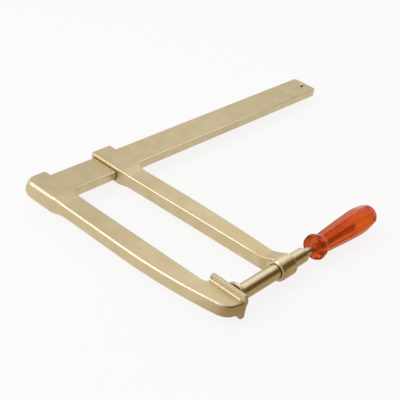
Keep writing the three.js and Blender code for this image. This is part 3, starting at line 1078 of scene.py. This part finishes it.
def makeSpindle():
    s = spindle
    grooveNear, grooveFar, grooveFloor = s["groove"]
    foot, top = s["shoulder"]
    screw = turnPiece(
        "clampSpindle",
        [
            (s["tip"], s["nose"] - s["noseEdge"]),
            (s["tip"] + s["noseEdge"], s["nose"]),
            (grooveNear, s["nose"]),
            (grooveNear, grooveFloor),
            (grooveFar, grooveFloor),
            (grooveFar, s["nose"]),
            (foot, s["nose"]),
            (top, s["radius"]),
            *roundBack(s["rear"], s["radius"], s["edge"], "small"),
            (s["rear"], s["neck"]),
            (s["neckEnd"], s["neck"]),
        ],
    )
    half = s["tangHalf"]
    tang = block("tang", (s["tangStart"], -half, -half), (s["tangEnd"], half, half))
    roundSharpEdges(s["tangEdge"], 2)
    combine(screw, tang, "UNION")
    openAgain(screw)
    faceOutward()
    finishShading(screw)
    dress(screw, turnedBronze, "screw", ["spindle"])


def makePad():
    p = pad
    disc = turnPiece(
        "pressurePadDisc",
        [
            (p["back"], p["hole"]),
            (p["floor"], p["hole"]),
            (p["floor"], p["recess"]),
            (p["face"], p["recess"]),
            *roundFront(p["face"], p["rim"], p["edge"], "small"),
            *roundBack(p["rimBack"], p["rim"], p["edge"], "small"),
            (p["rimBack"], p["hub"]),
            (p["back"], p["hub"]),
            (p["back"], p["hole"]),
        ],
        closed=False,
    )
    finishShading(disc)
    dress(disc, turnedBronze, "pad", ["pressure_pad"])


def makeClip():
    c = clip
    dropSelection()
    bpy.ops.mesh.primitive_circle_add(
        vertices=72,
        radius=c["outer"] * mm,
        location=(c["near"] * mm, 0, 0),
        rotation=(0, math.radians(90), 0),
    )
    ring = openPiece("padSpringClip")
    mouth = math.radians(c["mouth"] / 2)
    pick(ring, "verts", lambda v: abs(math.atan2(v.co.z, v.co.y)) < mouth)
    bpy.ops.mesh.delete(type="VERT")
    bpy.ops.mesh.select_all(action="SELECT")
    bpy.ops.mesh.extrude_edges_move(TRANSFORM_OT_translate={"value": (0, 0, 0)})
    share = c["inner"] / c["outer"]
    bpy.ops.transform.resize(value=(1, share, share), center_override=(c["near"] * mm, 0, 0))
    bpy.ops.mesh.select_all(action="SELECT")
    thickness = (c["far"] - c["near"]) * mm
    bpy.ops.mesh.extrude_region_move(TRANSFORM_OT_translate={"value": (thickness, 0, 0)})
    faceOutward()
    roundSharpEdges(c["edge"], 2, 50)
    finishShading(ring)
    dress(ring, pinSteel, "screw_feed", ["pad_clip"])


makeSpindle()
makePad()
makeClip()
print("spindle, pad and clip made")


handle = {
    "front": 124.7,
    "length": 102.3,
    "sides": 8,
    "turn": 41,
    "smoothUnder": 14,       # degrees, so that the flats keep their edges
    # places are shares of the length; the turned body first, then the flats' corners
    "body": (
        (0.000, 11.4),
        (0.004, 12.2),
        (0.010, 12.8),
        (0.018, 13.3),
        (0.028, 13.6),
        (0.050, 13.6),
        (0.062, 13.1),
        (0.078, 12.6),
        (0.090, 12.0),
        (0.102, 11.2),
        (0.115, 10.6),
        (0.130, 10.3),
        (0.150, 10.3),
        (0.170, 10.5),
        (0.220, 11.0),
        (0.340, 11.8),
        (0.480, 12.8),
        (0.620, 13.6),
        (0.700, 14.0),
        (0.760, 14.1),
        (0.810, 13.9),
        (0.860, 13.4),
        (0.900, 12.9),
        (0.930, 12.5),
        (0.955, 12.0),
        (0.970, 11.5),
        (0.980, 10.9),
        (0.989, 9.9),
        (0.996, 8.6),
        (1.000, 7.0),
    ),
    "flats": (
        (-0.020, 13.9),
        (0.062, 13.9),
        (0.100, 12.4),
        (0.130, 10.6),
        (0.170, 10.8),
        (0.220, 11.35),
        (0.340, 12.2),
        (0.480, 13.2),
        (0.620, 14.1),
        (0.700, 14.5),
        (0.760, 14.6),
        (0.810, 14.4),
        (0.860, 13.9),
        (0.930, 12.95),
        (0.972, 12.1),
        (1.020, 11.7),
    ),
}


def handleStations(key):
    return [(handle["front"] + share * handle["length"], r) for share, r in handle[key]]


def makeHandle():
    h = handle
    grip = turnPiece("handleGrip", handleStations("body"))
    flats = turnPiece("flats", handleStations("flats"), sides=h["sides"], turnDegrees=h["turn"])
    combine(grip, flats, "INTERSECT")
    openAgain(grip)
    faceOutward()
    finishShading(grip, h["smoothUnder"])
    dress(grip, amberPlastic, "screw", ["handle"])


makeHandle()
print("handle made")


studio = {
    "floorSize": 24,
    "floorMiddle": (0.2, 0.1),
    "floorGap": 0.0002,
    "floorColour": (0.95, 0.95, 0.95, 1),
    "floorShare": 0.86,      # how much of the floor's look is plain white to the eye
    "mirrorShare": 0.85,     # and how much in the metal's reflections
    "mirroredFloorShade": (0.52, 0.42, 0.28, 1),  # painted shade: the floor before the clamp is darker where metal mirrors it
    "floorShadeFrom": -0.02,
    "floorShadeTo": 0.03,
    "white": (1, 1, 1, 1),
    "black": (0, 0, 0, 1),
    "skyLevel": 0.725,
    # directions in the room come with the degrees round them where each begins and is full
    "box": ((0.66, 0.44, 0.61), 38, 12),  # the big softbox beyond the handle
    "boxLevel": 0.10,
    "unlit": (               # what stays dark in the metal's reflections, and its colour
        # behind the photographer
        ((-0.30, -0.72, 0.62), 46, 30, (0.14, 0.09, 0.04, 1)),
        # low down and round to the right
        ((0.42, -0.84, 0.34), 30, 12, (0.26, 0.17, 0.07, 1)),
        # between softbox and table
        ((0.660, -0.548, 0.515), 31, 16, (0.15, 0.080, 0.008, 1)),
    ),
}


def seenDirectly(tree, ray):
    # 1 for the camera's own rays and for those that go through the plastic
    return either(tree, ray["Is Camera Ray"], ray["Is Transmission Ray"])


def makeFloor():
    s = studio
    dropSelection()
    height = cadBox[0].z - s["floorGap"]
    bpy.ops.mesh.primitive_plane_add(size=s["floorSize"], location=(*s["floorMiddle"], height))
    floor = bpy.context.active_object
    floor.name = "studioFloor"
    material = bpy.data.materials.new("paleFloor")
    material.use_nodes = True
    tree = material.node_tree
    tree.nodes.clear()
    out = add(tree, "ShaderNodeOutputMaterial")
    ray = add(tree, "ShaderNodeLightPath").outputs
    where = add(tree, "ShaderNodeNewGeometry").outputs["Position"]
    across = add(tree, "ShaderNodeSeparateXYZ", {"Vector": where}).outputs["Y"]
    # painted shade: before the clamp the floor turns darker, only where the metal mirrors it
    shadeNearness = remap(tree, across, s["floorShadeTo"], s["floorShadeFrom"], 0.0, 1.0)
    mirroredShade = both(tree, shadeNearness, ray["Is Glossy Ray"])
    colour = blendColours(tree, mirroredShade, s["floorColour"], s["mirroredFloorShade"])
    plain = add(tree, "ShaderNodeBsdfDiffuse", {"Color": colour})
    colour = blendColours(tree, mirroredShade, s["white"], s["mirroredFloorShade"])
    glow = add(tree, "ShaderNodeEmission", {"Color": colour, "Strength": 1.0})
    share = remap(tree, ray["Is Glossy Ray"], 0.0, 1.0, 0.0, s["mirrorShare"])
    share = maths(tree, "MULTIPLY_ADD", seenDirectly(tree, ray), s["floorShare"], share)
    look = add(
        tree, "ShaderNodeMixShader", {0: share, 1: plain.outputs[0], 2: glow.outputs[0]}
    )
    tree.links.new(look.outputs[0], out.inputs["Surface"])
    floor.data.materials.append(material)


def zone(tree, where, towards, outer, inner):
    # 1 close to a direction and 0 away from it
    facing = add(
        tree,
        "ShaderNodeVectorMath",
        {0: where, 1: tuple(Vector(towards).normalized())},
        operation="DOT_PRODUCT",
    ).outputs["Value"]
    return add(
        tree,
        "ShaderNodeMapRange",
        {
            "Value": facing,
            "From Min": math.cos(math.radians(outer)),
            "From Max": math.cos(math.radians(inner)),
        },
        interpolation_type="SMOOTHSTEP",
    ).outputs["Result"]


def makeWorld():
    s = studio
    world = bpy.data.worlds.new("studioWorld")
    bpy.context.scene.world = world
    world.use_nodes = True
    tree = world.node_tree
    tree.nodes.clear()
    out = add(tree, "ShaderNodeOutputWorld")
    ray = add(tree, "ShaderNodeLightPath").outputs
    where = add(tree, "ShaderNodeTexCoord").outputs["Generated"]
    box = zone(tree, where, *s["box"])
    level = remap(tree, box, 0, 1, s["skyLevel"], s["skyLevel"] + s["boxLevel"])
    light = blendColours(tree, level, s["black"], s["white"])
    for towards, outer, inner, colour in s["unlit"]:
        light = blendColours(tree, zone(tree, where, towards, outer, inner), light, colour)
    room = add(tree, "ShaderNodeBackground", {"Color": light, "Strength": 1.0})
    plain = add(tree, "ShaderNodeBackground", {"Color": s["white"], "Strength": 1.0})
    look = add(
        tree,
        "ShaderNodeMixShader",
        {0: seenDirectly(tree, ray), 1: room.outputs[0], 2: plain.outputs[0]},
    )
    tree.links.new(look.outputs[0], out.inputs["Surface"])


lamps = {
    "topSoftbox": {
        "place": (-0.30, 0.75, 1.5),
        "aim": (0.15, 0.1, 0),
        "size": 0.8,
        "watts": 2.7,
    },
    "sideSoftbox": {
        "place": (-1.3, 0.9, 0.9),
        "aim": (0.1, 0.1, 0),
        "size": 0.9,
        "watts": 8.0,
    },
    "railCard": {            # a faint one that lifts the rail's long side
        "place": (0.45, 0.28, 0.41),
        "aim": (0.15, 0.15, 0),
        "size": 0.38,
        "watts": 0.17,
    },
}


def makeLamps():
    for name, settings in lamps.items():
        data = bpy.data.lights.new(name, "AREA")
        data.shape = "SQUARE"
        data.size = settings["size"]
        data.energy = settings["watts"]
        lamp = bpy.data.objects.new(name, data)
        bpy.context.scene.collection.objects.link(lamp)
        lamp.location = settings["place"]
        towards = Vector(settings["aim"]) - Vector(settings["place"])
        lamp.rotation_mode = "QUATERNION"
        lamp.rotation_quaternion = towards.to_track_quat("-Z", "Y")


makeFloor()
makeWorld()
makeLamps()
bpy.context.scene.view_settings.view_transform = "Standard"
print("studio made")
